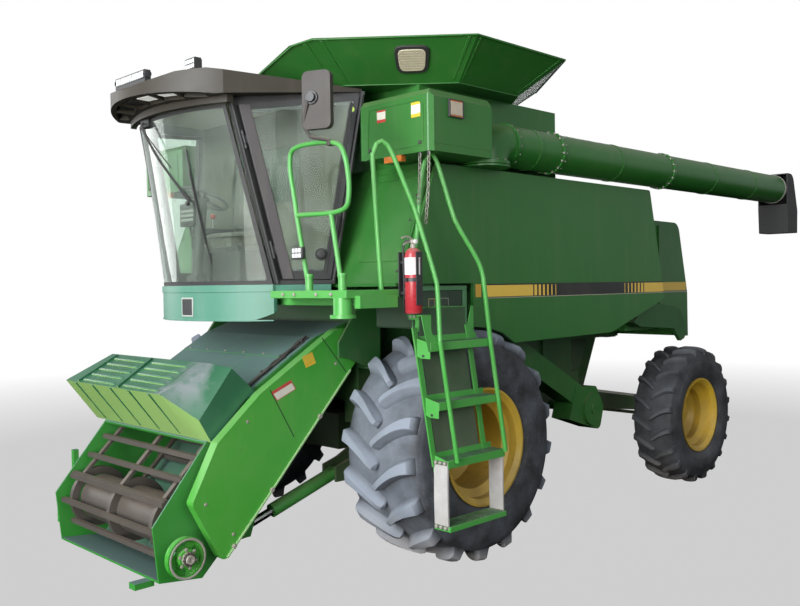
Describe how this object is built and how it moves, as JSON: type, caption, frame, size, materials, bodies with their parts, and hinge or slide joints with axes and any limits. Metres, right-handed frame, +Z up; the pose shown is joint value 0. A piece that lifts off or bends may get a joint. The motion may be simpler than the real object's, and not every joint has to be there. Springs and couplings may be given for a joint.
{
  "type": "combine harvester",
  "caption": "Combine harvester with glass cab, lifting feeder house, grain tank with flared wings, swinging unloading tube, ladder, drive wheels and steered rear wheels",
  "frame": {"origin": "centre of the machine's bounding box in plan, on the ground", "axes": "+Z up, +Y to the machine's rear, +X to its left"},
  "size_m": [3.94, 7.9376, 3.795],
  "materials": {
    "body_green": "gloss paint",
    "chassis_green": "satin paint",
    "dark_paint": "satin black paint",
    "grey_steel": "worn bare steel",
    "taupe_plastic": "moulded taupe plastic",
    "black_plastic": "moulded black plastic",
    "lamp_lens": "clear and beige lens",
    "amber_lens": "amber lens",
    "red_paint": "gloss red paint",
    "glass": "tinted glass",
    "fabric": "woven seat cloth",
    "tyre": "dusty rubber",
    "rim_paint": "worn yellow paint",
    "rod_chrome": "polished",
    "cast": "rough cast"
  },
  "bodies": {
    "machine": {"front_axle": "cast", "main_frame": "chassis_green", "rear_axle": "cast", "separator_body": "body_green", "cleaning_shoe": "chassis_green", "side_shields": "body_green", "shield_brackets": "chassis_green", "front_bulkhead": "body_green", "rear_hood": "body_green", "straw_chopper": "body_green", "engine": "cast", "rotary_screen": "body_green", "grain_tank": "body_green", "tank_wings": "body_green", "tank_side_boxes": "body_green", "cab_frame": "dark_paint", "windshield": "glass", "cab_floor": "dark_paint", "cab_skirt": "body_green", "cab_rear_wall": "black_plastic", "cab_panes": "glass", "cab_roof": "taupe_plastic", "roof_lamps": "lamp_lens", "seat_base": "dark_paint", "seat_pad": "fabric", "steering_column": "black_plastic", "cab_console": "black_plastic", "platform": "body_green", "handrails": "body_green", "mirrors": "taupe_plastic", "ladder": "body_green", "extinguisher": "red_paint", "service_box": "body_green", "marker_lamps": "amber_lens", "grain_elevator": "body_green", "auger_turret": "body_green"},
    "door": {"cab_door": "dark_paint", "door_glass": "glass"},
    "unloader": {"auger_tube": "body_green", "auger_spout": "black_plastic"},
    "feeder": {"feeder_house": "body_green", "feeder_hood": "body_green", "feeder_shield": "body_green", "feeder_chain": "grey_steel"},
    "pulley": {"feeder_pulley": "body_green"},
    "barrel_left": {"lift_barrel_left": "body_green"},
    "barrel_right": {"lift_barrel_right": "body_green"},
    "rod_left": {"lift_rod_left": "rod_chrome"},
    "rod_right": {"lift_rod_right": "rod_chrome"},
    "steer_left": {"knuckle_left": "cast"},
    "steer_right": {"knuckle_right": "cast"},
    "tie": {"tie_rod": "grey_steel"},
    "front_wheel_left": {"front_tyre_left": "tyre", "front_rim_left": "rim_paint"},
    "front_wheel_right": {"front_tyre_right": "tyre", "front_rim_right": "rim_paint"},
    "rear_wheel_left": {"rear_tyre_left": "tyre", "rear_rim_left": "rim_paint"},
    "rear_wheel_right": {"rear_tyre_right": "tyre", "rear_rim_right": "rim_paint"}
  },
  "joints": [
    {"name": "front_wheel_left_spin", "type": "hinge", "parent": "machine", "child": "front_wheel_left", "pos_m": [1.345, -1.68, 0.872], "axis": [1, 0, 0], "continuous": true},
    {"name": "steer_left", "type": "hinge", "parent": "machine", "child": "steer_left", "pos_m": [1.13, 1.836, 0.702], "axis": [0, 0, 1], "range_deg": [-32, 32]},
    {"name": "rear_wheel_left_spin", "type": "hinge", "parent": "steer_left", "child": "rear_wheel_left", "pos_m": [1.425, 1.836, 0.702], "axis": [1, 0, 0], "continuous": true},
    {"name": "front_wheel_right_spin", "type": "hinge", "parent": "machine", "child": "front_wheel_right", "pos_m": [-1.345, -1.68, 0.872], "axis": [1, 0, 0], "continuous": true},
    {"name": "steer_right", "type": "hinge", "parent": "machine", "child": "steer_right", "pos_m": [-1.13, 1.836, 0.702], "axis": [0, 0, 1], "range_deg": [-32, 32]},
    {"name": "rear_wheel_right_spin", "type": "hinge", "parent": "steer_right", "child": "rear_wheel_right", "pos_m": [-1.425, 1.836, 0.702], "axis": [1, 0, 0], "continuous": true},
    {"name": "tie_rod_turn", "type": "hinge", "parent": "steer_left", "child": "tie", "pos_m": [1.13, 2.11, 0.61], "axis": [0, 0, 1], "range_deg": [-32, 32]},
    {"name": "cab_door_hinge", "type": "hinge", "parent": "machine", "child": "door", "pos_m": [0.765, -2.855, 2.12], "axis": [0.0903, 0.2181, -0.9717], "range_deg": [0, 55]},
    {"name": "unloader_swing", "type": "hinge", "parent": "machine", "child": "unloader", "pos_m": [1.62, -1.57, 3.14], "axis": [0, 0, -1], "range_deg": [0, 95]},
    {"name": "feeder_lift", "type": "hinge", "parent": "machine", "child": "feeder", "pos_m": [0, -2.38, 1.6], "axis": [-1, 0, 0], "range_deg": [0, 22]},
    {"name": "feeder_pulley_spin", "type": "hinge", "parent": "feeder", "child": "pulley", "pos_m": [0.862, -3.73, 0.34], "axis": [1, 0, 0], "continuous": true},
    {"name": "lift_barrel_left_turn", "type": "hinge", "parent": "machine", "child": "barrel_left", "pos_m": [0.6, -2.24, 0.62], "axis": [-1, 0, 0], "range_deg": [0, 21.51]},
    {"name": "lift_rod_left_slide", "type": "slide", "parent": "barrel_left", "child": "rod_left", "axis": [0, -0.955, -0.2967], "range_m": [0, 0.37814]},
    {"name": "lift_barrel_right_turn", "type": "hinge", "parent": "machine", "child": "barrel_right", "pos_m": [-0.6, -2.24, 0.62], "axis": [-1, 0, 0], "range_deg": [0, 21.51]},
    {"name": "lift_rod_right_slide", "type": "slide", "parent": "barrel_right", "child": "rod_right", "axis": [0, -0.955, -0.2967], "range_m": [0, 0.37814]}
  ],
  "couplings": [
    {"joint": "steer_right", "follows": "steer_left", "ratio": 1},
    {"joint": "tie_rod_turn", "follows": "steer_left", "ratio": -1},
    {"joint": "lift_barrel_left_turn", "follows": "feeder_lift", "ratio": 0.97541},
    {"joint": "lift_rod_left_slide", "follows": "feeder_lift", "m_per_rad": 0.98351},
    {"joint": "lift_barrel_right_turn", "follows": "feeder_lift", "ratio": 0.97541},
    {"joint": "lift_rod_right_slide", "follows": "feeder_lift", "m_per_rad": 0.98351}
  ]
}
